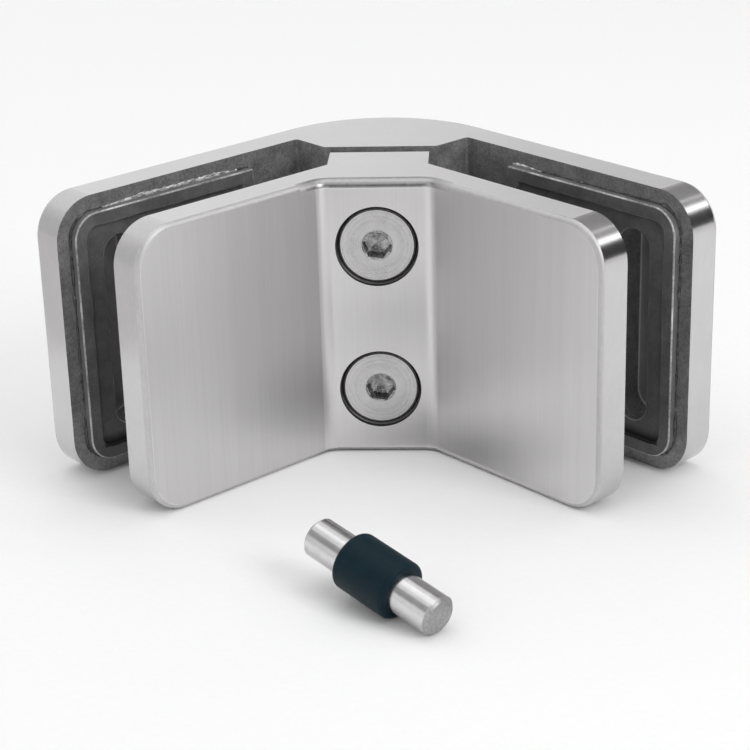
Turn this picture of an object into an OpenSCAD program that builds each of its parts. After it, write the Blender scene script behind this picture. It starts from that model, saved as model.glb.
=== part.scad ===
// Corner clamp for two glass panes that meet at a right angle.
// A cast rear half and a cast front half are drawn together by two countersunk screws, with a rubber
// pad on each of the four faces that grip the glass. A loose safety pin with a rubber sleeve belongs
// to the clamp: it passes through a hole in the glass and ends in the sockets of both halves.
//
// Origin: at the base, where the middle planes of the two panes cross. One wing runs along +X and the
// other along -Y. The screws point half way between them, towards (1, -1, 0).

/* [Clamp] */
// Height of both halves
clamp_h = 45; // [38:0.5:60]
// Reach of each wing from the crossing of the panes' middle planes
wing_reach = 59.2; // [54:0.1:75]
// Gap between the metal faces of the two halves
slot_w = 14.4; // [12:0.1:18]
// Radius of the wings' outer corners
corner_r = 6.5; // [5:0.5:10]
// Rounding of the outer edges
edge_r = 0.8; // [0.3:0.1:1.4]

/* [Rear half] */
// Thickness of the rear wings
rear_t = 5.7; // [5.4:0.1:8]
// Outside radius of the bend between the rear wings
bend_r = 21.5; // [19:0.5:30]
// Distance of the rear boss's side faces from the crossing, along each wing
boss_side = 12.2; // [11:0.1:13.5]
// Distance of the rear boss's front face from the crossing, along the screws
boss_front = 8.3; // [7:0.1:10]
// Fillet where the rear boss meets the wings
root_r = 0.5; // [0.2:0.1:3]

/* [Front half] */
// Thickness of the front wings
front_t = 5.4; // [5.2:0.1:8]
// Width of the flat strip that holds the screws, corner to corner
strip_w = 16.4; // [15.5:0.1:22]
// Fillet between the strip and the wings
strip_fillet = 2.7; // [1:0.1:4]
// Rounding of the strip's top edge
strip_edge_r = 1.5; // [0.5:0.1:1.8]
// Run of that rounding past the fillets, along each wing
lip_run = 3; // [2:0.1:6]
// The edges of the fillets are rounded by this much less than the strip's
fillet_ease = 0.1; // [0.05:0.05:0.25]
// Width of the boss behind the strip
front_boss_w = 15.6; // [13:0.1:18]
// Gap between the two bosses
boss_gap = 3.1; // [2.4:0.1:4]

/* [Screws] */
// Distance between the two screws
screw_spacing = 23.6; // [18:0.1:30]
// Thread diameter
screw_d = 6; // [5:0.5:7]
// Overall length of a screw
screw_len = 25; // [21:0.5:27]
// Diameter of the countersunk head
head_d = 11.8; // [10.5:0.1:12.6]
// Height of the cylindrical rim of the head
head_rim = 0.6; // [0.4:0.1:0.9]
// Chamfer round the top of the head
head_edge = 0.25; // [0.1:0.05:0.4]
// Hexagon socket, across its flats
hex_af = 4; // [3:0.5:5]
// Depth of the hexagon socket
hex_depth = 2.8; // [1.5:0.1:3.2]
// Chamfer at the mouth of the hexagon socket
hex_chamfer = 0.1; // [0.05:0.05:0.5]
// Turn of the hexagon from corner-up
hex_turn = 37; // [0:1:60]
// Chamfer at a screw's tip
tip_chamfer = 0.8; // [0.3:0.1:1.2]
// Diameter of the round recess over each head
recess_d = 12.8; // [12.7:0.1:14]
// Depth of the straight wall of the recess
recess_depth = 0.9; // [0.5:0.1:1.6]
// Diameter of the through holes in the front half
hole_d = 6.6; // [6.2:0.1:7.4]
// Depth of the threaded holes in the rear boss
tap_depth = 12; // [11:0.1:13]

/* [Pads] */
// Length of a pad along the wing
pad_len = 34.3; // [28:0.1:36]
// Bare metal left round a pad at the wing's outer edges
pad_margin = 2.4; // [1.5:0.1:4]
// Height of a pad's rim over the metal
pad_proud = 1.4; // [0.8:0.1:2]
// Depth of the pocket that seats a pad
pad_seat = 0.6; // [0.3:0.1:1]
// Width of a pad's raised rim
rim_w = 2.2; // [1.2:0.1:3]
// Drop from a pad's rim to its field
field_drop = 0.7; // [0.3:0.1:0.8]

/* [Safety pin] */
// Diameter of the steel pin
pin_d = 5.9; // [4:0.1:7]
// Length of the steel pin
pin_len = 23.6; // [16:0.1:23.7]
// Diameter of the rubber sleeve
sleeve_d = 8.5; // [8:0.1:12]
// Length of the rubber sleeve
sleeve_len = 9.6; // [6:0.1:11]
// Rounding of the sleeve's outer edges
sleeve_edge = 0.7; // [0.2:0.1:1]
// Chamfer of the pin's ends
pin_chamfer = 0.5; // [0.2:0.1:1]
// End-to-end length of a pin socket
socket_len = 31; // [20:0.1:33]
// Depth of a pin socket in the metal
socket_depth = 4.7; // [3.5:0.1:4.8]
// Distance of a pin socket's middle from the wing's end
socket_inset = 10.8; // [8.5:0.1:14]
// Place of the loose pin: towards the front, from the crossing
pin_forward = 77.5; // [70:0.5:110]
// Place of the loose pin: sideways
pin_aside = 1.75; // [-20:0.25:20]
// Turn of the loose pin from square across
pin_turn = 42; // [0:1:90]

/* [Clearances] */
// Gap round a pad in its pocket
pad_gap = 0.1; // [0.05:0.01:0.3]
// Gap under a screw head, along the screw
head_gap = 0.12; // [0.05:0.01:0.3]
// Gap round a screw in its threaded hole
thread_gap = 0.05; // [0.02:0.01:0.1]
// Extra width of a pin socket over the pin
socket_gap = 0.2; // [0.1:0.05:0.6]
// Stretch of the sleeve over the pin, in diameter
sleeve_grip = 0.1; // [0.02:0.02:0.3]

/* [Hidden] */
$fn = 96;

// Cuts run this far past the faces they open on
past = 1;
// Pieces of one casting run this far into each other
lap = 1.5;
// Thickness of the swept outer skin of the bend and of the strip
skin = 4;
screw_z = [(clamp_h + screw_spacing) / 2, (clamp_h - screw_spacing) / 2];
rear_out = slot_w / 2 + rear_t;
front_out = slot_w / 2 + front_t;
// The bend's centre lies this far along both wings
bend_at = bend_r - rear_out;
strip_face = front_out * sqrt(2) + strip_w / 2;
front_boss_back = boss_front + boss_gap;
// Run of the fillet along the strip and along the wing
fillet_run = strip_fillet * tan(22.5);
strip_flat = strip_w - 2 * fillet_run;
// Along the wing, to where its front face becomes flat
front_flat_at = (strip_face + strip_w / 2) / sqrt(2) + fillet_run;
head_at = strip_face - recess_depth - (recess_d - head_d) / 2 + head_gap + head_rim;
shank_r = screw_d / 2 - thread_gap;
socket_at = wing_reach - socket_inset;
pad_at = wing_reach - pad_margin - pad_len;
pad_corner = corner_r - pad_margin;
// The loose pin lies on the edge of its sleeve and on one end: its tilt and the height of its middle
edge_in = sleeve_d / 2 - sleeve_edge;
edge_at = sleeve_len / 2 - sleeve_edge;
tilt_rise = edge_in - pin_d / 2;
tilt_run = pin_len / 2 - pin_chamfer - edge_at;
pin_tilt = atan2(tilt_rise, tilt_run) + asin(sleeve_edge / norm([tilt_rise, tilt_run]));
pin_lift = edge_in * cos(pin_tilt) + edge_at * sin(pin_tilt) + sleeve_edge;

satin_steel = "#b9b8b8";
turned_steel = "#c6c5c4";
dark_rubber = "#3c3c3e";
sleeve_rubber = "#14222c";

// Turn a shape from "along the screws" to the clamp's own axes: its +X points at the screw heads.
module along_screws() rotate([0, 0, -45]) children();

// Lay a shape drawn on a wing's gripping face: X along the wing, Y up, +Z into the metal.
module on_face(rear = false, left = false)
    mirror(left ? [1, 1, 0] : [0, 0, 0])
        mirror(rear ? [0, 1, 0] : [0, 0, 0])
            translate([0, -slot_w / 2, 0]) rotate([90, 0, 0]) children();

// Rectangle with its far top corner rounded.
module one_round(w, h, r) {
    square([w - r, h]);
    square([w, h - r]);
    translate([w - r, h - r]) circle(r);
}

// Rectangle with both corners of its far end rounded.
module end_round(w, h, r) {
    square([w - r, h]);
    translate([0, r]) square([w, h - 2 * r]);
    for (y = [r, h - r]) translate([w - r, y]) circle(r);
}

// Upright slot with round ends, centred.
module upright_slot(w, l) {
    square([w, l - w], center = true);
    for (s = [-1, 1]) translate([0, s * (l - w) / 2]) circle(d = w);
}

// Wing plate with round outer corners, its outer edges eased, from a given start to its end.
module wing_plate(from, t) {
    run = wing_reach - corner_r - from;
    translate([from, corner_r, 0]) cube([run, clamp_h - 2 * corner_r, t]);
    translate([wing_reach - corner_r, clamp_h - corner_r, 0]) {
        rotate([90, 0, 0]) linear_extrude(clamp_h - 2 * corner_r) one_round(corner_r, t, edge_r);
        rotate_extrude(angle = 90) one_round(corner_r, t, edge_r);
    }
    translate([wing_reach - corner_r, corner_r, 0])
        rotate([0, 0, -90]) rotate_extrude(angle = 90) one_round(corner_r, t, edge_r);
    for (upside = [0, 1])
        translate([from, upside ? clamp_h - corner_r : corner_r, 0])
            mirror(upside ? [0, 0, 0] : [0, 1, 0])
                rotate([90, 0, 90]) linear_extrude(run) one_round(corner_r, t, edge_r);
}

// Outline of a pad, grown by a given gap. Its two corners at the wing's end are round.
module pad_outline(grow = 0)
    translate([pad_at - grow, pad_margin - grow])
        end_round(pad_len + 2 * grow, clamp_h - 2 * pad_margin + 2 * grow, pad_corner + grow);

// Pocket for a pad and socket for the pin, cut into a wing's gripping face.
module face_cuts() {
    translate([0, 0, -past]) linear_extrude(past + pad_seat) pad_outline(pad_gap);
    translate([socket_at, clamp_h / 2, -past])
        linear_extrude(past + socket_depth) upright_slot(pin_d + socket_gap, socket_len);
}

// Rubber pad with a raised rim round a lower field, slotted for the pin.
module pad()
    color(dark_rubber) difference() {
        translate([0, 0, -pad_proud]) linear_extrude(pad_proud + pad_seat) pad_outline();
        translate([0, 0, -pad_proud - past]) linear_extrude(past + field_drop) pad_outline(-rim_w);
        translate([socket_at, clamp_h / 2, -pad_proud - past])
            linear_extrude(pad_proud + pad_seat + 2 * past) upright_slot(pin_d + socket_gap, socket_len);
    }

// Outer skin of the rear bend, with eased top and bottom edges.
module bend_skin()
    translate([bend_at, -bend_at, 0]) rotate([0, 0, 90])
        rotate_extrude(angle = 90) translate([bend_r - skin, 0]) end_round(skin, clamp_h, edge_r);

// Plan of the rear boss and of the metal behind it, up to the middle of the bend's skin.
module rear_core_plan() {
    face = slot_w / 2;
    boss_tip = boss_side - boss_front * sqrt(2);
    half = [[bend_at + lap, face], [boss_side, face], [boss_side, boss_tip]];
    back = rear_out;
    intersection() {
        translate([bend_at, -bend_at]) circle(bend_r - skin / 2);
        polygon(concat(half, [for (i = [2:-1:0]) [-half[i].y, -half[i].x]],
                       [[-back, -bend_at - lap], [-back, back], [bend_at + lap, back]]));
    }
    for (left = [false, true]) mirror(left ? [1, 1] : [0, 0])
        translate([boss_side, face - root_r]) difference() {
            square(root_r);
            translate([root_r, 0]) circle(root_r);
        }
}

// Cast rear half: two wings, the round bend outside and the threaded boss inside.
module rear_half()
    color(satin_steel) difference() {
        union() {
            for (left = [false, true]) on_face(true, left) wing_plate(bend_at, rear_t);
            bend_skin();
            linear_extrude(clamp_h) rear_core_plan();
        }
        for (left = [false, true]) on_face(true, left) face_cuts();
        for (z = screw_z) along_screws()
            translate([boss_front - tap_depth, 0, z]) rotate([0, 90, 0])
                cylinder(d = screw_d, h = tap_depth + past);
    }

// Plan of the front boss and of the metal between it, the wings and the strip, along the screws.
module front_core_plan() {
    function on_wing(u, v) = [(u - v) / sqrt(2), (u + v) / sqrt(2)];
    boss_y = front_boss_w / 2;
    half = [[front_boss_back, boss_y],
            [slot_w / 2 * sqrt(2) + boss_y, boss_y],
            on_wing(front_flat_at + lap, -slot_w / 2),
            on_wing(front_flat_at + lap, skin / 2 - front_out),
            [strip_face - skin / 2, strip_flat / 2]];
    polygon(concat(half, [for (i = [4:-1:0]) [half[i].x, -half[i].y]]));
}

// Profile of the strip and of the metal next to it: the top edge is rounded more than the bottom edge.
module strip_profile(depth, less = 0) {
    low_r = edge_r - less;
    top_r = strip_edge_r - less;
    square([depth - low_r, clamp_h - top_r]);
    translate([0, low_r]) {
        square([depth, clamp_h - low_r - top_r]);
        square([depth - top_r, clamp_h - low_r]);
    }
    translate([depth - low_r, low_r]) circle(low_r);
    translate([depth - top_r, clamp_h - top_r]) circle(top_r);
}

// Fillet between the strip and one wing.
module strip_corner(left)
    mirror(left ? [1, 1, 0] : [0, 0, 0])
        translate([front_flat_at, -front_out - strip_fillet, 0]) rotate([0, 0, 90])
            rotate_extrude(angle = 45)
                translate([strip_fillet + skin, 0]) mirror([1, 0]) strip_profile(skin, fillet_ease);

// Recess, countersink and through hole for one screw, along +X and open at the strip.
module screw_hole(z)
    translate([strip_face, 0, z]) rotate([0, -90, 0]) {
        cone_h = (recess_d - hole_d) / 2;
        translate([0, 0, -past]) cylinder(d = recess_d, h = past + recess_depth);
        translate([0, 0, recess_depth]) cylinder(d1 = recess_d, d2 = hole_d, h = cone_h);
        cylinder(d = hole_d, h = strip_face - front_boss_back + past);
    }

// Cast front half: two wings that open towards the front, a flat strip and the boss behind it.
module front_half()
    color(satin_steel) difference() {
        union() {
            for (left = [false, true]) {
                on_face(false, left) {
                    wing_plate(front_flat_at + lip_run, front_t);
                    translate([front_flat_at, 0, 0]) rotate([90, 0, 90])
                        linear_extrude(lip_run) mirror([1, -1]) strip_profile(front_t, fillet_ease);
                }
                strip_corner(left);
            }
            along_screws() {
                translate([strip_face - skin, strip_flat / 2, 0]) rotate([90, 0, 0])
                    linear_extrude(strip_flat) strip_profile(skin);
                linear_extrude(clamp_h) front_core_plan();
            }
        }
        for (left = [false, true]) on_face(false, left) face_cuts();
        for (z = screw_z) along_screws() screw_hole(z);
    }

// Countersunk screw with a hexagon socket, at a given height.
module screw(z)
    color(turned_steel) along_screws()
        translate([head_at, 0, z]) rotate([0, -90, 0]) difference() {
            cone_h = head_d / 2 - shank_r;
            union() {
                cylinder(d1 = head_d - 2 * head_edge, d2 = head_d, h = head_edge);
                translate([0, 0, head_edge]) cylinder(d = head_d, h = head_rim - head_edge);
                translate([0, 0, head_rim]) cylinder(d1 = head_d, r2 = shank_r, h = cone_h);
                cylinder(r = shank_r, h = screw_len - tip_chamfer);
                translate([0, 0, screw_len - tip_chamfer])
                    cylinder(r1 = shank_r, r2 = shank_r - tip_chamfer, h = tip_chamfer);
            }
            hex_d = hex_af / cos(30);
            translate([0, 0, -past]) rotate([0, 0, hex_turn])
                cylinder(d = hex_d, h = past + hex_depth, $fn = 6);
            cylinder(d1 = hex_d + hex_chamfer, d2 = hex_d - hex_chamfer, h = hex_chamfer);
        }

module screw_upper() screw(screw_z[0]);
module screw_lower() screw(screw_z[1]);
module pad_rear_right() on_face(true, false) pad();
module pad_rear_left() on_face(true, true) pad();
module pad_front_right() on_face(false, false) pad();
module pad_front_left() on_face(false, true) pad();

// Lay a shape drawn round the X axis where the loose pin lies.
module lying()
    along_screws() translate([pin_forward, pin_aside, pin_lift])
        rotate([0, pin_tilt, 90 - pin_turn]) children();

// Steel pin with chamfered ends.
module safety_pin()
    color(turned_steel) lying() rotate([0, 90, 0]) rotate_extrude() polygon([
        [0, -pin_len / 2],
        [pin_d / 2 - pin_chamfer, -pin_len / 2],
        [pin_d / 2, pin_chamfer - pin_len / 2],
        [pin_d / 2, pin_len / 2 - pin_chamfer],
        [pin_d / 2 - pin_chamfer, pin_len / 2],
        [0, pin_len / 2]]);

// Rubber sleeve round the middle of the pin, with soft outer edges.
module pin_sleeve() {
    bore_r = (pin_d - sleeve_grip) / 2;
    color(sleeve_rubber) lying() rotate([0, 90, 0]) rotate_extrude()
        translate([bore_r, -sleeve_len / 2]) end_round(sleeve_d / 2 - bore_r, sleeve_len, sleeve_edge);
}

rear_half();
front_half();
screw_upper();
screw_lower();
pad_rear_right();
pad_rear_left();
pad_front_right();
pad_front_left();
safety_pin();
pin_sleeve();
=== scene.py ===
import math
import bpy
from mathutils import Matrix, Vector, noise


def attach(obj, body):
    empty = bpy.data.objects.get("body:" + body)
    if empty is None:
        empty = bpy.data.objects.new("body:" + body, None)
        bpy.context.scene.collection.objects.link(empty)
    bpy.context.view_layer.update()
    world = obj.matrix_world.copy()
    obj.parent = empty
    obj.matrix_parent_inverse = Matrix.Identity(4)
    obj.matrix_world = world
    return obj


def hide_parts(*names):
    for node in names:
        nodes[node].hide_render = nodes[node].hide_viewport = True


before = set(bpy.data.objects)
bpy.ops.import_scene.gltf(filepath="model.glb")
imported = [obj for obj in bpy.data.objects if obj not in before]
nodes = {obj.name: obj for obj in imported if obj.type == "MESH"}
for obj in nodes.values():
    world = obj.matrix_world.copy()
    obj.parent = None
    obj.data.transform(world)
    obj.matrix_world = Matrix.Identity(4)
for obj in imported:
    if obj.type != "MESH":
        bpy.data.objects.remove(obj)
bpy.context.view_layer.update()
scene = bpy.context.scene
scene.view_settings.view_transform = "Standard"

# Sizes of the part, in millimetres, as in its source. A place on a wing is given by how far along
# the wing it is, how deep it is from the middle plane of the pane, and its height.
HEIGHT, REACH, CORNER_R = 45.0, 59.2, 6.5
FACE = 7.2  # depth of the metal's gripping faces
PAD_AT, PAD_MARGIN = 22.5, 2.4
PAD_FOOT, PAD_TOP, PAD_END = PAD_MARGIN, HEIGHT - PAD_MARGIN, REACH - PAD_MARGIN
FIELD_FROM, FIELD_TO, FIELD_FOOT = 24.8, 54.5, 4.55  # the pads' lower field, inside the rim
PIN_SOCKET_AT, PIN_SOCKET_FLOOR = 48.4, 11.9
SCREW_Z = {"screw_upper": 34.3, "screw_lower": 10.7}
STRIP_FACE, HEAD_TOP = 26.02, 25.34
REAR_HOLE_R, FRONT_HOLE_R = 3.1, 6.45  # just over the threaded holes and the heads' recesses
ROOT2 = math.sqrt(2)


def cad(v):
    """From the picture's axes (right, away, up) to the part's axes."""
    return Vector(((v[0] - v[1]) / ROOT2, (v[0] + v[1]) / ROOT2, v[2]))


# ---- camera, fitted to the edges in the photograph ----
CAMERA_TURNS = (-3.4226, 22.4096, -1.6357)  # yaw, pitch and roll, in degrees
LOOKS_AT, CAMERA_AWAY = Vector((-2.398, 0, 2.353)), 359.579  # in millimetres
FOCAL_PX, IMAGE_PX, SENSOR = 2115.85, 750, 36


def make_camera():
    yaw, pitch, roll = (math.radians(a) for a in CAMERA_TURNS)
    fwd = Vector((math.sin(yaw) * math.cos(pitch), math.cos(yaw) * math.cos(pitch),
                  -math.sin(pitch)))
    level = Vector((math.cos(yaw), -math.sin(yaw), 0))
    upright = level.cross(fwd)
    right = math.cos(roll) * level + math.sin(roll) * upright
    up = -math.sin(roll) * level + math.cos(roll) * upright
    at = LOOKS_AT - CAMERA_AWAY * fwd
    data = bpy.data.cameras.new("photo_camera")
    data.sensor_width, data.lens = SENSOR, SENSOR * FOCAL_PX / IMAGE_PX
    data.clip_start, data.clip_end = 0.01, 20
    cam = bpy.data.objects.new("photo_camera", data)
    scene.collection.objects.link(cam)
    cols = [cad(right), cad(up), -cad(fwd), cad(at) / 1000]
    cam.matrix_world = Matrix([[c[i] for c in cols] for i in range(3)] + [[0, 0, 0, 1]])
    scene.camera = cam


make_camera()

# ---- materials ----
NOISE_LOW, NOISE_HIGH = 0.25, 0.75  # most of a noise texture lies between these


def grey(v):
    """Neutral grey with the faint violet cast of stainless steel."""
    return (v * 1.004, v * 0.990, v * 0.998)


def opaque(colour):
    return (*colour, 1)


class Mat:
    """A node material under construction, with short calls for the nodes it needs.

    Lengths are in millimetres, and the scale of a noise is per metre.
    """

    def __init__(self, name):
        self.m = bpy.data.materials.new(name)
        self.m.use_nodes = True
        self.t = self.m.node_tree
        self.t.nodes.clear()
        self.bsdf = self.add("BsdfPrincipled")
        out = self.add("OutputMaterial")
        self.t.links.new(self.bsdf.outputs[0], out.inputs["Surface"])
        self.pos = self.add("TexCoord").outputs["Object"]

    def add(self, kind, inputs=None, **props):
        n = self.t.nodes.new("ShaderNode" + kind)
        for k, v in props.items():
            setattr(n, k, v)
        for k, v in (inputs or {}).items():
            self.put(n.inputs[k], v)
        return n

    def put(self, socket, v):
        if isinstance(v, bpy.types.NodeSocket):
            self.t.links.new(v, socket)
        else:
            socket.default_value = v

    def set(self, **inputs):
        """Set or link inputs of the shader."""
        for k, v in inputs.items():
            self.put(self.bsdf.inputs[k.replace("_", " ")], v)

    def math(self, op, a, b=0.0):
        return self.add("Math", {0: a, 1: b}, operation=op).outputs[0]

    def weigh(self, a, share_a, b, share_b):
        """Sum of two values, each times its share."""
        return self.math("ADD", self.math("MULTIPLY", a, share_a),
                         self.math("MULTIPLY", b, share_b))

    def axes(self):
        return self.add("SeparateXYZ", {"Vector": self.pos}).outputs

    def along(self, axes):
        """How far along its wing a place is."""
        return self.math("MAXIMUM", *(self.math("ABSOLUTE", axes[i]) for i in (0, 1)))

    def depth(self, axes):
        """How deep a place on a wing is, from the middle plane of the pane."""
        return self.math("MINIMUM", *(self.math("ABSOLUTE", axes[i]) for i in (0, 1)))

    def noise(self, scale, detail, rough, at=None):
        """Noise over the object's own coordinates, or over others."""
        vec = self.pos if at is None else at
        inputs = {"Vector": vec, "Scale": scale, "Detail": detail, "Roughness": rough}
        return self.add("TexNoise", inputs).outputs[0]

    def streaks(self, scale, detail, rough):
        """Noise with a scale of its own along each axis."""
        drawn = self.add("Mapping", {"Vector": self.pos, "Scale": scale}).outputs[0]
        return self.noise(1, detail, rough, drawn)

    def ramp(self, fac, *stops):
        n = self.add("ValToRGB", {"Fac": fac})
        el = n.color_ramp.elements
        while len(el) < len(stops):
            el.new(0.5)
        for e, (place, colour) in zip(el, stops):
            e.position, e.color = place, opaque(colour)
        return n.outputs[0]

    def greys(self, fac, *stops):
        return self.ramp(fac, *((place, grey(v)) for place, v in stops))

    def spread(self, fac, low, high):
        """A noise's values, spread from one value to another."""
        inputs = {"Value": fac, "From Min": NOISE_LOW, "From Max": NOISE_HIGH,
                  "To Min": low, "To Max": high}
        return self.add("MapRange", inputs).outputs[0]

    def fade(self, place, start, end, before=0.0, after=1.0):
        """A value that changes over a stretch of a length."""
        inputs = {"Value": place, "From Min": start / 1000, "From Max": end / 1000,
                  "To Min": before, "To Max": after}
        return self.add("MapRange", inputs).outputs[0]

    def above(self, place, limit):
        return self.math("GREATER_THAN", place, limit / 1000)

    def below(self, place, limit):
        return self.math("LESS_THAN", place, limit / 1000)

    def mix(self, fac, a, b):
        n = self.add("Mix", data_type="RGBA")
        self.put(n.inputs["Factor"], fac)
        self.put(n.inputs[6], a)
        self.put(n.inputs[7], b)
        return n.outputs[2]

    def bump(self, height, strength, depth, under=None):
        inputs = {"Height": height, "Strength": strength, "Distance": depth / 1000}
        if under is not None:
            inputs["Normal"] = under
        return self.add("Bump", inputs).outputs[0]


def brushed_steel(name, light):
    """Satin stainless steel, ground upright: fine upright lines of differing tone and gloss."""
    k, vary = Mat(name), 0.04
    fine = k.streaks((2600, 2600, 45), detail=5, rough=0.7)
    broad = k.streaks((420, 420, 14), detail=3, rough=0.6)
    cloud = k.noise(38, detail=2, rough=0.5)
    tone = k.weigh(fine, 0.55, broad, 0.45)
    colour = k.greys(tone, (0.25, light - vary), (0.5, light), (0.75, light + vary))
    k.set(Metallic=1.0, Base_Color=colour, Anisotropic=0.4)
    k.set(Roughness=k.spread(k.weigh(fine, 0.6, cloud, 0.4), 0.27, 0.38))
    k.set(Tangent=k.add("Tangent", direction_type="RADIAL", axis="Z").outputs[0])
    k.set(Normal=k.bump(fine, 0.07, depth=0.04))
    return k.m


def edge_steel(name, light, smooth, dull):
    """The same steel on its ends and tops: linished and part polished, with short fine marks."""
    k, vary = Mat(name), 0.045
    fine = k.streaks((1500, 1500, 700), detail=5, rough=0.7)
    cloud = k.noise(70, detail=3, rough=0.55)
    tone = k.weigh(fine, 0.4, cloud, 0.6)
    k.set(Metallic=1.0, Base_Color=k.greys(tone, (0.3, light - vary), (0.7, light + vary)))
    k.set(Roughness=k.spread(tone, smooth, dull), Normal=k.bump(fine, 0.05, depth=0.03))
    return k.m


def round_steel(name, lip):
    """Small roundings beside the brushed faces: satin, toned a little darker as painted shade that
    dims their highlights; burnished on the strip's lip, and darker still there as painted shade
    that dims its highlight.
    """
    k = Mat(name)
    fine = k.streaks((1800, 1800, 900), detail=4, rough=0.65)
    # painted shade: the roundings' tone sits a little below the brushed faces' to dim their
    # highlights
    tone, rough = k.greys(fine, (0.3, 0.54), (0.7, 0.62)), k.spread(fine, 0.48, 0.60)
    if lip:
        away = k.fade(k.along(k.axes()), 25.0, 29.0)
        # painted shade: a darker tone on the lip to dim its highlight
        tone = k.mix(away, k.greys(fine, (0.3, 0.34), (0.7, 0.42)), tone)
        polish = k.math("MULTIPLY", k.math("SUBTRACT", away, 1.0), 0.22)
        rough = k.math("ADD", rough, polish)
    k.set(Metallic=1.0, Base_Color=tone, Roughness=rough, Normal=k.bump(fine, 0.08, depth=0.04))
    return k.m


def cast_skin():
    """Dark as-cast skin inside the clamp, with a painted highlight line at the pin sockets' floors.
    """
    k = Mat("cast_skin")
    sand = k.noise(2600, detail=4, rough=0.7)
    lumps = k.noise(420, detail=3, rough=0.6)
    tone = k.weigh(sand, 0.65, lumps, 0.35)
    skin = k.greys(tone, (0.36, 0.22), (0.5, 0.33), (0.64, 0.45))
    # painted highlight: a pale line along the pin sockets' floors
    painted_highlight_line = k.fade(k.depth(k.axes()), PIN_SOCKET_FLOOR - 0.4, PIN_SOCKET_FLOOR - 0.2)
    k.set(Metallic=0.75, Base_Color=k.mix(painted_highlight_line, skin, opaque(grey(0.9))))
    k.set(Roughness=k.spread(lumps, 0.46, 0.66))
    k.set(Normal=k.bump(sand, 0.45, depth=0.1, under=k.bump(lumps, 0.4, depth=0.3)))
    return k.m


def machined_hole():
    """Walls of the drilled and countersunk holes, darkened with painted shade."""
    k = Mat("machined_hole")
    marks = k.streaks((5000, 5000, 900), detail=3, rough=0.6)
    # painted shade: dark tones on the holes' walls
    k.set(Metallic=0.9, Base_Color=k.greys(marks, (0.3, 0.09), (0.7, 0.20)))
    k.set(Roughness=k.spread(marks, 0.34, 0.5), Normal=k.bump(marks, 0.15, depth=0.05))
    return k.m


def socket_steel():
    """Punched hexagon socket: dark as painted shade, with scuffed metal whose bright specks are
    painted glints.
    """
    k = Mat("socket_steel")
    scuffs_and_glints = k.noise(900, detail=5, rough=0.7)
    # painted shade in the dark tones, painted glints in the bright specks
    k.set(Metallic=0.95, Base_Color=k.greys(scuffs_and_glints, (0.34, 0.13), (0.5, 0.34), (0.66, 0.64)))
    k.set(Roughness=k.spread(scuffs_and_glints, 0.16, 0.36), Normal=k.bump(scuffs_and_glints, 0.6, depth=0.2))
    return k.m


SHADED_BELOW = 6.2  # height up to which the pads' lower field and edges are darkened with painted shade


def pad_rubber():
    """Dark grey moulded rubber with a fine matt grain, lighter towards the top, and darkened low in
    the field with painted shade.
    """
    k = Mat("pad_rubber_grain")
    grain = k.noise(3200, detail=3, rough=0.7)
    dust = k.noise(260, detail=4, rough=0.65)
    p = k.axes()
    u = k.along(p)
    # lighter towards the top
    lighter_top = k.fade(p[2], 37.0, 42.0, 0.0, 0.05)
    # painted shade: the field darkened towards its bottom
    painted_shade = k.fade(p[2], SHADED_BELOW - 1.2, SHADED_BELOW + 0.2, 0.9, 0.0)
    field = k.math("MULTIPLY", k.above(u, FIELD_FROM), k.below(u, FIELD_TO))
    field = k.math("MULTIPLY", field, k.above(p[2], FIELD_FOOT))
    tone = k.math("ADD", k.weigh(grain, 0.35, dust, 0.65), lighter_top)
    colour = k.greys(tone, (0.3, 0.085), (0.52, 0.13), (0.75, 0.21))
    k.set(Base_Color=k.mix(k.math("MULTIPLY", painted_shade, field), colour, opaque(grey(0.012))))
    k.set(Roughness=k.spread(dust, 0.42, 0.66), Specular_IOR_Level=0.5)
    k.set(Normal=k.bump(grain, 0.35, depth=0.08, under=k.bump(dust, 0.25, depth=0.3)))
    return k.m


def pad_edge():
    """Pads' edges: pale along the outline with wear and a painted highlight, plainer inside, half
    as pale at the slot as a painted highlight, and darkened low down with painted shade.
    """
    k, slot_half = Mat("pad_edge_wear_and_highlight"), 3.4
    p = k.axes()
    u = k.along(p)
    from_top = k.math("SUBTRACT", PAD_TOP / 1000, p[2])
    from_foot = k.math("SUBTRACT", p[2], PAD_FOOT / 1000)
    from_end = k.math("SUBTRACT", PAD_END / 1000, u)
    inside = k.math("MINIMUM", k.math("MINIMUM", from_top, from_foot), from_end)
    # painted shade: the pads' edges darkened low down
    shaded_low = k.below(p[2], SHADED_BELOW)
    off_slot = k.math("ABSOLUTE", k.math("SUBTRACT", u, PIN_SOCKET_AT / 1000))
    # painted highlight: the slot's edges half as pale as the outline
    slot_highlight = k.math("MULTIPLY", k.below(off_slot, slot_half), k.math("SUBTRACT", 1.0, shaded_low))
    inner = k.math("SUBTRACT", k.fade(inside, 1.5, 1.9), k.math("MULTIPLY", slot_highlight, 0.5))
    grain = k.noise(2200, detail=4, rough=0.7)
    patch = k.noise(170, detail=3, rough=0.6)
    tone = k.weigh(grain, 0.4, patch, 0.6)
    # wear and painted highlight: the pale tones along the outline
    wear_and_highlight = k.greys(tone, (0.38, 0.16), (0.5, 0.38), (0.62, 0.70))
    plain = k.greys(tone, (0.38, 0.07), (0.5, 0.13), (0.62, 0.26))
    plain = k.mix(shaded_low, plain, opaque(grey(0.015)))
    k.set(Base_Color=k.mix(inner, wear_and_highlight, plain))
    dull = k.math("MULTIPLY", k.math("MULTIPLY", shaded_low, inner), 0.3)
    k.set(Roughness=k.math("ADD", k.spread(tone, 0.28, 0.5), dull))
    k.set(Normal=k.bump(grain, 0.4, depth=0.1))
    return k.m


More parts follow.
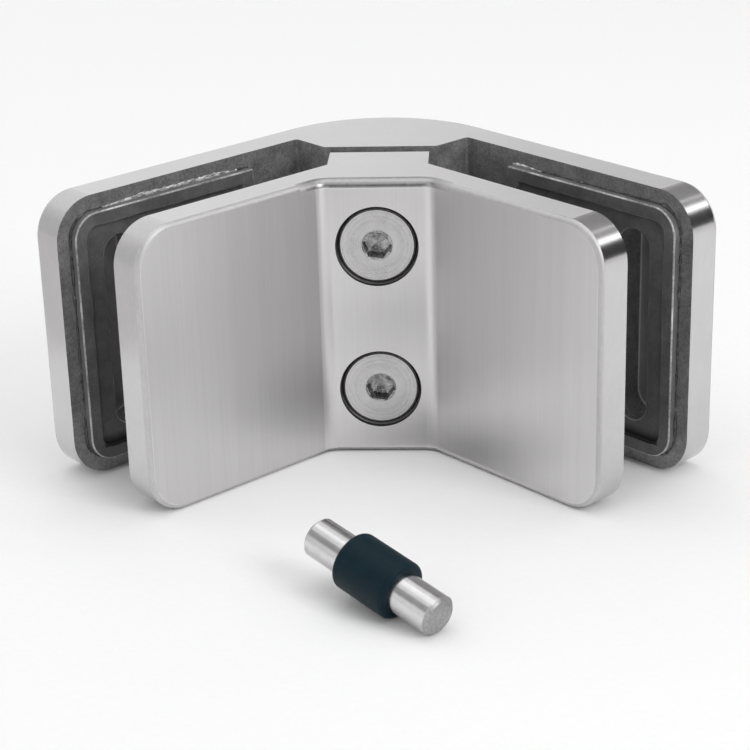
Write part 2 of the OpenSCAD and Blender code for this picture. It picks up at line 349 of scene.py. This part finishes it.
def glue():
    """Cured adhesive squeezed out round the pads: dark, lumpy, with wet glints."""
    k = Mat("cured_glue")
    lump = k.noise(900, detail=4, rough=0.65)
    k.set(Base_Color=k.greys(lump, (0.40, 0.02), (0.56, 0.05), (0.72, 0.22)), Coat_Weight=0.15)
    k.set(Roughness=k.spread(lump, 0.2, 0.45), Normal=k.bump(lump, 0.7, depth=0.3))
    return k.m


def smeared_glue():
    """Pale glue rubbed over the metal beside a pad: dry, streaky, with bright and dark patches."""
    k = Mat("smeared_glue")
    streak = k.streaks((1100, 1100, 2600), detail=4, rough=0.7)
    k.set(Base_Color=k.greys(streak, (0.38, 0.14), (0.5, 0.46), (0.62, 0.86)))
    k.set(Roughness=k.spread(streak, 0.25, 0.5), Normal=k.bump(streak, 0.5, depth=0.2))
    return k.m


def turned_steel(name, z):
    """Turned and polished screw steel: fine rings round the axis of the screw at a height."""
    k = Mat(name)
    p = k.axes()
    side = k.math("MULTIPLY", k.math("ADD", p[0], p[1]), 1 / ROOT2)
    lift = k.math("SUBTRACT", p[2], z / 1000)
    squares = k.math("ADD", k.math("MULTIPLY", side, side), k.math("MULTIPLY", lift, lift))
    ahead = k.math("MULTIPLY", k.math("SUBTRACT", p[0], p[1]), 1 / ROOT2)
    ring = k.add("CombineXYZ", {"X": k.math("SQRT", squares), "Y": ahead}).outputs[0]
    rings = k.noise(4200, detail=3, rough=0.6, at=ring)
    wear = k.noise(340, detail=4, rough=0.6)
    tone = k.weigh(rings, 0.55, wear, 0.45)
    k.set(Metallic=1.0, Base_Color=k.greys(tone, (0.28, 0.47), (0.72, 0.70)))
    k.set(Roughness=k.spread(tone, 0.22, 0.36), Normal=k.bump(rings, 0.22, depth=0.04))
    return k.m


PIN_MIDDLE = cad((1.75, -77.5, 4.9273)) / 1000
PIN_DIR = Vector((0.9824632, 0.0514887, -0.1792065))
PIN_CUT = 11.2, 11.4  # along the pin from its middle, where its cut ends begin


def pin_coords(k):
    """Distance along the pin's axis from its middle, and the place across it."""
    def vector(op, a, b, out=0):
        return k.add("VectorMath", {0: a, 1: b}, operation=op).outputs[out]

    away = vector("SUBTRACT", k.pos, tuple(PIN_MIDDLE))
    along = vector("DOT_PRODUCT", away, tuple(PIN_DIR), "Value")
    part = k.add("VectorMath", {0: tuple(PIN_DIR), "Scale": along}, operation="SCALE").outputs[0]
    return along, vector("SUBTRACT", away, part)


def pin_steel():
    """Drawn and tumbled steel pin: lines along it, a soft mottle, and darker cut ends."""
    k = Mat("pin_steel_drawn")
    along, across = pin_coords(k)
    lines = k.noise(620, detail=4, rough=0.6, at=across)
    mottle = k.noise(900, detail=4, rough=0.65)
    tone = k.weigh(lines, 0.75, mottle, 0.25)
    drawn = k.greys(tone, (0.36, 0.52), (0.5, 0.62), (0.62, 0.72))
    cut = k.greys(k.noise(2400, detail=4, rough=0.65), (0.36, 0.33), (0.64, 0.47))
    end = k.fade(k.math("ABSOLUTE", along), *PIN_CUT)
    k.set(Metallic=1.0, Base_Color=k.mix(end, drawn, cut))
    k.set(Roughness=k.math("ADD", k.spread(tone, 0.15, 0.26), k.math("MULTIPLY", end, 0.26)))
    k.set(Normal=k.bump(mottle, 0.10, depth=0.04))
    return k.m


def sleeve_rubber():
    """Blue-black soft rubber with a fine moulded grain and a waxy bloom."""
    k = Mat("sleeve_rubber_grain")
    grain = k.noise(2600, detail=3, rough=0.7)
    bloom = k.noise(330, detail=4, rough=0.6)
    tone = k.weigh(grain, 0.3, bloom, 0.7)
    k.set(Base_Color=k.ramp(tone, (0.3, (0.0011, 0.0105, 0.0165)),
                            (0.55, (0.0018, 0.0155, 0.0235)), (0.8, (0.0045, 0.027, 0.041))))
    k.set(Roughness=k.spread(bloom, 0.40, 0.55), Specular_IOR_Level=0.15)
    k.set(Normal=k.bump(grain, 0.22, depth=0.06, under=k.bump(bloom, 0.15, depth=0.3)))
    return k.m


# ---- the solids' materials ----
def dress(name, *mats):
    """Put materials on a CAD node, the first one on every face."""
    slots = nodes[name].data.materials
    slots.clear()
    for m in mats:
        slots.append(m)
    for p in nodes[name].data.polygons:
        p.material_index = 0


BRUSHED, EDGE, CAST, HOLE, ROUND, LIP, STRIP_PAINTED_LIGHT, WING_PAINTED_LIGHT, TOP_PAINTED_LIGHT = range(9)
CASTING = (
    brushed_steel("brushed_steel", 0.62),
    edge_steel("edge_steel", 0.595, 0.15, 0.24),
    cast_skin(),
    machined_hole(),
    round_steel("round_steel", False),
    round_steel("lip_steel", True),
    # painted light: a lighter copy of the brushed steel for the strip
    brushed_steel("strip_steel_painted_light", 0.71),
    # painted light: a lighter copy of the brushed steel for the right front wing
    brushed_steel("right_wing_steel_painted_light", 0.67),
    # rougher edge steel for the tops, lighter in tone as painted light
    edge_steel("top_steel_painted_light", 0.69, 0.30, 0.40),
)


def casting_skin(c, n, rear):
    """Which material a face of a half gets, by its centre and normal.

    Outer faces are brushed, edges polished, the inside dark as cast, and the screw holes dark with
    painted shade.
    The strip, the right front wing, the tops and the pin sockets' floors take lighter steel as
    painted light.
    The small numbers are margins round the faces' exact places and directions.
    """
    right = c.x + c.y > 0
    u, v = (c.x, c.y) if right else (-c.y, -c.x)
    nu, nv = (n.x, n.y) if right else (-n.y, -n.x)
    ahead, aside = (c.x - c.y) / ROOT2, (c.x + c.y) / ROOT2
    deep, n_deep = (v, nv) if rear else (-v, -nv)
    from_screw = min(math.hypot(aside, c.z - z) for z in SCREW_Z.values())
    level = abs(n.z) > 0.5
    over_pad = PAD_AT - 0.3 < u < REACH - 2 and 2 < c.z < HEIGHT - 2
    in_pocket = over_pad and FACE + 0.01 < deep < PIN_SOCKET_FLOOR + 0.2
    inward = n_deep < -0.3 and deep < FACE + 0.05 and not level
    boss = ahead > 0 and deep < FACE - 0.1 and not level
    # painted shade: the screw holes and the heads' recesses take the dark hole steel
    if from_screw < (REAR_HOLE_R if rear else FRONT_HOLE_R) and 0 < ahead < STRIP_FACE - 0.02:
        return HOLE
    # painted light: the pin sockets' floors take the lighter round steel
    if in_pocket and deep > PIN_SOCKET_FLOOR - 0.4:
        return ROUND
    if in_pocket or inward or boss:
        return CAST
    # painted light: level tops take the lighter copy of the edge steel
    if abs(n.z) > 0.999:
        return TOP_PAINTED_LIGHT
    if abs(n.z) > 0.1 or (nu > 0.1 and u > REACH - CORNER_R - 1):
        return EDGE if abs(nv) < 0.15 else ROUND if rear else LIP
    # painted light: the strip takes the lighter copy of the brushed steel
    if not rear and n.x - n.y > 1.02:  # a wing's face gives 1, the strip's the root of 2
        return STRIP_PAINTED_LIGHT
    # painted light: the right front wing takes the lighter copy of the brushed steel
    return WING_PAINTED_LIGHT if right and not rear else BRUSHED


for half, rear in (("rear_half", True), ("front_half", False)):
    dress(half, *CASTING)
    for face in nodes[half].data.polygons:
        face.material_index = casting_skin(face.center * 1000, face.normal, rear)

# ---- glue round the pads ----
PAD, PAD_EDGE, GLUE, SMEAR = pad_rubber(), pad_edge(), glue(), smeared_glue()
WELD_WITHIN, PAD_SOFT, PAD_SHARP = 0.000002, 0.0002, math.radians(40)
GLUE_STEP, GLUE_SIDES, GLUE_OUT, SMEAR_THICK = 0.3, 6, 0.05, 0.14
ARC_STEP, ARC_COUNT = 4, 22  # degrees, and places round a pad's corner
SMEARED = {"pad_rear_left": (25.0, 51.0), "pad_rear_right": (PAD_AT - 1, 29.0)}
SMEAR_STARTS_OVER, SMEAR_ENDS_OVER = 3, 9


def glue_noise(i, step, seed, row):
    """Smooth noise along a bead: each pad has its seed, and each use its row."""
    return noise.noise(Vector((i * step, seed, row)))


def glue_smear(pad, u, i, seed):
    """How far glue is rubbed over the metal above a pad: nothing where it stands as a bead."""
    start, end = SMEARED.get(pad, (0, 0))
    taper = min(1.0, max(0.0, (u - start) / SMEAR_STARTS_OVER),
                max(0.0, (end - u) / SMEAR_ENDS_OVER))
    waves, ripple = glue_noise(i, 0.05, seed, 2.9), glue_noise(i, 0.6, seed, 5.3)
    return taper * (0.55 + 0.35 * waves + 0.2 * ripple)


def glue_path():
    """Places on a pad's outline, from its top edge round to its foot, and the way out at each."""
    r = CORNER_R - PAD_MARGIN
    long = [i * GLUE_STEP for i in range(int((PAD_END - r - PAD_AT) / GLUE_STEP))]
    tall = [i * GLUE_STEP for i in range(int((PAD_TOP - PAD_FOOT - 2 * r) / GLUE_STEP))]
    turns = [math.radians(ARC_STEP * i) for i in range(ARC_COUNT)]
    turns = [(math.sin(a), math.cos(a)) for a in turns]
    path = [((PAD_AT + d, PAD_TOP), (0, 1)) for d in long]
    path += [((PAD_END - r + r * s, PAD_TOP - r + r * c), (s, c)) for s, c in turns]
    path += [((PAD_END, PAD_TOP - r - d), (1, 0)) for d in tall]
    path += [((PAD_END - r + r * c, PAD_FOOT + r - r * s), (c, -s)) for s, c in turns]
    path += [((PAD_END - r - d, PAD_FOOT), (0, -1)) for d in long]
    return path


def glue_bead(pad, rear, left, seed):
    """Uneven bead of glue in the corner between a pad's outer walls and the metal."""
    side = 1 if rear else -1
    verts, faces, pale = [], [], []
    for i, ((u, z), (out_u, out_z)) in enumerate(glue_path()):
        smear = glue_smear(pad, u, i, seed) if out_z == 1 else 0
        lumps, ripple = glue_noise(i, 0.11, seed, 0.3), glue_noise(i, 0.45, seed, 7.1)
        r = 0.12 + 0.34 * max(0.0, lumps + 0.12) + 0.22 * max(0.0, ripple)
        for j in range(GLUE_SIDES):
            a = j * math.tau / GLUE_SIDES
            width = smear if smear and math.cos(a) > 0 else r
            off = GLUE_OUT + width * math.cos(a)
            lift = (SMEAR_THICK if smear else r) * (0.2 + math.sin(a))
            p = (u + out_u * off, side * (FACE - lift), z + out_z * off)
            verts.append(tuple(c / 1000 for c in ((-p[1], -p[0], p[2]) if left else p)))
            if i:
                here, before, after = i * GLUE_SIDES, (i - 1) * GLUE_SIDES, (j + 1) % GLUE_SIDES
                faces.append((before + j, before + after, here + after, here + j))
                pale.append(smear > 0)
    mesh = bpy.data.meshes.new("glue_" + pad)
    mesh.from_pydata(verts, [], faces)
    mesh.shade_smooth()
    mesh.materials.append(GLUE)
    mesh.materials.append(SMEAR)
    for p, rubbed in zip(mesh.polygons, pale):
        p.material_index = 1 if rubbed else 0
    bead = bpy.data.objects.new("glue_" + pad, mesh)
    scene.collection.objects.link(bead)
    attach(bead, "rear" if rear else "front")


PADS = ("pad_rear_right", "pad_rear_left", "pad_front_right", "pad_front_left")
SEED_STEP = 3.7
for seed, pad in enumerate(PADS):
    dress(pad, PAD, PAD_EDGE)
    weld = nodes[pad].modifiers.new("joined", "WELD")
    weld.merge_threshold = WELD_WITHIN
    soft = nodes[pad].modifiers.new("soft_edges", "BEVEL")
    soft.width, soft.segments = PAD_SOFT, 2
    soft.limit_method, soft.angle_limit = "ANGLE", PAD_SHARP
    soft.material, soft.use_clamp_overlap = 1, False
    glue_bead(pad, "rear" in pad, "left" in pad, SEED_STEP * seed)

# ---- screws: radii, and depths below the head's top, in millimetres ----
SOCKET = socket_steel()
HEX_TURN, HEX_FLAT, HEX_DEPTH, DRILL_POINT = 37, 2.0, 2.8, 3.9
CHAMFER, CHAMFER_IN, CHAMFER_OUT = 0.1, 2.259, 2.359
HEAD_R, HEAD_EASE, HEAD_RIM, CONE_END = 5.9, 0.25, 0.6, 3.55
CREST, PITCH, THREAD_DEPTH, TIP_R, SCREW_LEN = 2.95, 1.0, 0.54, 2.15, 25.0
THREAD_FROM, THREAD_TO, RUN_OUT = 4.6, 24.2, 0.6
CREST_FLAT, FLANK = 0.12, 0.76  # shares of half a turn of the thread
ROUND_N, RING_STEP, RING_N = 72, 0.1, 197
SOCKET_FACES = 4  # faces of each sector that lie in the socket, from its middle outwards
SHARP = math.radians(28)


def hex_r(a):
    """Radius of the hexagon socket at an angle from upright."""
    return HEX_FLAT / math.cos(math.radians((a - HEX_TURN) % 60 - 30))


def thread_r(a, depth):
    """Radius of the right-hand thread at an angle and a depth below the head's top."""
    fade = min(1.0, max(0.0, depth - THREAD_FROM), max(0.0, (THREAD_TO - depth) / RUN_OUT))
    saw = abs(2 * ((depth / PITCH - a / 360) % 1) - 1)
    return CREST - THREAD_DEPTH * fade * min(1.0, max(0.0, (saw - CREST_FLAT) / FLANK))


def screw_rings():
    """The screw's rings from the socket's floor to the tip: depth, and radius at an angle."""
    rings = [(HEX_DEPTH, hex_r), (CHAMFER, hex_r),
             (CHAMFER, lambda a: max(hex_r(a), CHAMFER_IN)),
             (0.0, lambda a: max(hex_r(a), CHAMFER_OUT))]
    head = ((0.0, HEAD_R - HEAD_EASE), (HEAD_EASE, HEAD_R), (HEAD_RIM, HEAD_R),
            (CONE_END, CREST), (THREAD_FROM - RING_STEP, CREST))
    rings += [(d, lambda a, r=r: r) for d, r in head]
    thread = [THREAD_FROM + RING_STEP * i for i in range(RING_N)]
    rings += [(d, lambda a, d=d: thread_r(a, d)) for d in thread]
    return rings + [(SCREW_LEN, lambda a: TIP_R)]


def threaded_screw(node, body, z):
    """Countersunk screw with a cut thread, in the place of the plain solid."""
    def point(depth, r, a):
        a = math.radians(a)
        ahead, aside, up = HEAD_TOP - depth, r * math.sin(a), r * math.cos(a)
        return ((ahead + aside) / ROOT2 / 1000, (aside - ahead) / ROOT2 / 1000, (z + up) / 1000)

    rings, n = screw_rings(), ROUND_N
    angles = [HEX_TURN + 360 * i / n for i in range(n)]
    verts = [point(d, r(a), a) for d, r in rings for a in angles]
    drill, tip, last = len(verts), len(verts) + 1, len(rings) - 1
    verts += [point(DRILL_POINT, 0, 0), point(SCREW_LEN, 0, 0)]
    faces = []
    for i in range(n):
        j = (i + 1) % n
        faces.append((drill, j, i))
        faces += [(k + i, k + j, k + n + j, k + n + i) for k in range(0, last * n, n)]
        faces.append((tip, last * n + i, last * n + j))
    mesh = bpy.data.meshes.new("threaded_" + node)
    mesh.from_pydata(verts, [], faces)
    mesh.materials.append(turned_steel("turned_" + node, z))
    mesh.materials.append(SOCKET)
    for p in mesh.polygons:
        p.material_index = 1 if p.index % (last + 2) < SOCKET_FACES else 0
    mesh.shade_smooth()
    mesh.set_sharp_from_angle(angle=SHARP)
    screw = bpy.data.objects.new("threaded_" + node, mesh)
    scene.collection.objects.link(screw)
    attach(screw, body)
    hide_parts(node)


for node, body in (("screw_upper", "upper_screw"), ("screw_lower", "lower_screw")):
    threaded_screw(node, body, SCREW_Z[node])
dress("safety_pin", pin_steel())
dress("pin_sleeve", sleeve_rubber())

# ---- studio: places in the picture's axes, in metres ----
AIM = (0, 0, 0.02)
FLOOR_TONE, FLOOR_HALF, FLOOR_Z, FLOOR_CARD_Z = 0.94, 3.0, -0.00005, 0.001
WORLD_LIGHT = 0.95


def neutral(v):
    return (v, v, v)


def sheet(name, size, material):
    """Flat rectangle that lies in the scene as part of the studio."""
    x, y = size[0] / 2, size[1] / 2
    mesh = bpy.data.meshes.new(name)
    mesh.from_pydata([(-x, -y, 0), (x, -y, 0), (x, y, 0), (-x, y, 0)], [], [(0, 1, 2, 3)])
    mesh.materials.append(material)
    obj = bpy.data.objects.new(name, mesh)
    scene.collection.objects.link(obj)
    return obj


def floor_paper():
    """Matt white paper."""
    k = Mat("studio_floor")
    paper = k.noise(900, detail=3, rough=0.6)
    tone = k.ramp(paper, (0.3, neutral(FLOOR_TONE)), (0.7, neutral(FLOOR_TONE + 0.02)))
    k.set(Base_Color=tone, Roughness=0.9, Specular_IOR_Level=0.1)
    k.set(Normal=k.bump(paper, 0.05, depth=0.1))
    return k.m


def make_world():
    w = bpy.data.worlds.new("studio_world")
    scene.world = w
    w.use_nodes = True
    bg = w.node_tree.nodes["Background"]
    bg.inputs["Color"].default_value = opaque(neutral(1))
    bg.inputs["Strength"].default_value = WORLD_LIGHT


def facing(at):
    return (cad(AIM) - cad(at)).to_track_quat("-Z", "Y").to_euler()


def softbox(name, at, size, radiance):
    """Area lamp of a given brightness."""
    data = bpy.data.lights.new(name, "AREA")
    data.shape, data.size, data.size_y = "RECTANGLE", size[0], size[1]
    data.energy = radiance * math.pi * size[0] * size[1]
    lamp = bpy.data.objects.new(name, data)
    scene.collection.objects.link(lamp)
    lamp.location, lamp.rotation_euler = cad(at), facing(at)


def card(name, at, size, cloth):
    """Dark or grey card that the polished metal mirrors, out of the camera's sight."""
    obj = sheet(name, size, cloth)
    obj.location, obj.rotation_euler = cad(at), facing(at)
    obj.visible_camera = False
    return obj


def mirrored_card(name, at, size, cloth):
    """Card that only the metal's reflections see."""
    obj = card(name, at, size, cloth)
    obj.visible_shadow = obj.visible_diffuse = False
    return obj


def floor_card(name, at, size, cloth):
    """Mirrored card lying on the floor, square to the picture."""
    obj = mirrored_card(name, (*at, FLOOR_CARD_Z), size, cloth)
    obj.rotation_euler = (0, 0, math.radians(45))


def cloth_weave(k):
    return k.noise(400, detail=2, rough=0.5)


def card_cloth(name, tone):
    """Matt cloth of one tone, with a weave."""
    k = Mat(name)
    k.set(Base_Color=k.greys(cloth_weave(k), (0.3, tone), (0.7, tone * 1.3)), Roughness=1.0)
    return k.m


def fading_cloth(name, tone, start, end, upward):
    """Cloth that fades from grey to the floor's tone, going upwards or from its middle outwards."""
    k = Mat(name)
    if upward:
        place = k.axes()[1]
    else:
        place = k.add("VectorMath", {0: k.pos}, operation="LENGTH").outputs["Value"]
    fade = k.weigh(k.fade(place, start, end), 1.0, cloth_weave(k), 0.04)
    k.set(Base_Color=k.ramp(fade, (0.0, neutral(tone)), (1.0, neutral(FLOOR_TONE))), Roughness=1.0)
    return k.m


BLACK, GREY = card_cloth("black_cloth", 0.02), card_cloth("grey_cloth", 0.28)
MID, PALE = card_cloth("mid_cloth", 0.44), card_cloth("pale_cloth", 0.64)
LEFT = fading_cloth("left_cloth", 0.70, 50, 400, True)
SHADE = fading_cloth("shade_cloth", 0.46, 2, 16, False)
sheet("studio_floor", (2 * FLOOR_HALF, 2 * FLOOR_HALF), floor_paper()).location.z = FLOOR_Z
make_world()
softbox("top_box", (0.0, -0.02, 0.85), (0.8, 0.6), 0.58)
softbox("key_box", (0.55, -0.45, 0.50), (0.30, 0.30), 5.7)
softbox("right_box", (0.68, 0.11, 0.48), (0.34, 0.10), 1.6)
card("right_card", (0.60, -0.02, 0.19), (0.46, 0.28), BLACK)
card("back_card", (0.26, 0.56, 0.53), (0.62, 0.44), GREY)
card("upper_card", (0.64, 0.23, 0.60), (0.26, 0.15), GREY)
card("front_card", (0.0, -0.75, 0.40), (0.7, 0.36), BLACK)
card("pin_card", (-0.63, -0.22, 0.485), (0.30, 0.42), GREY)
mirrored_card("left_card", (-0.75, 0.03, 0.24), (0.60, 0.80), LEFT)
floor_card("left_low", (-0.42, -0.06), (0.642, 0.30), PALE)
floor_card("right_low", (0.030, -0.076), (0.030, 0.026), MID)
floor_card("foot_low", (0.009, -0.034), (0.034, 0.034), SHADE)
floor_card("front_low", (0.012, -0.185), (0.130, 0.100), MID)

# ---- update the scene ----
bpy.context.view_layer.update()
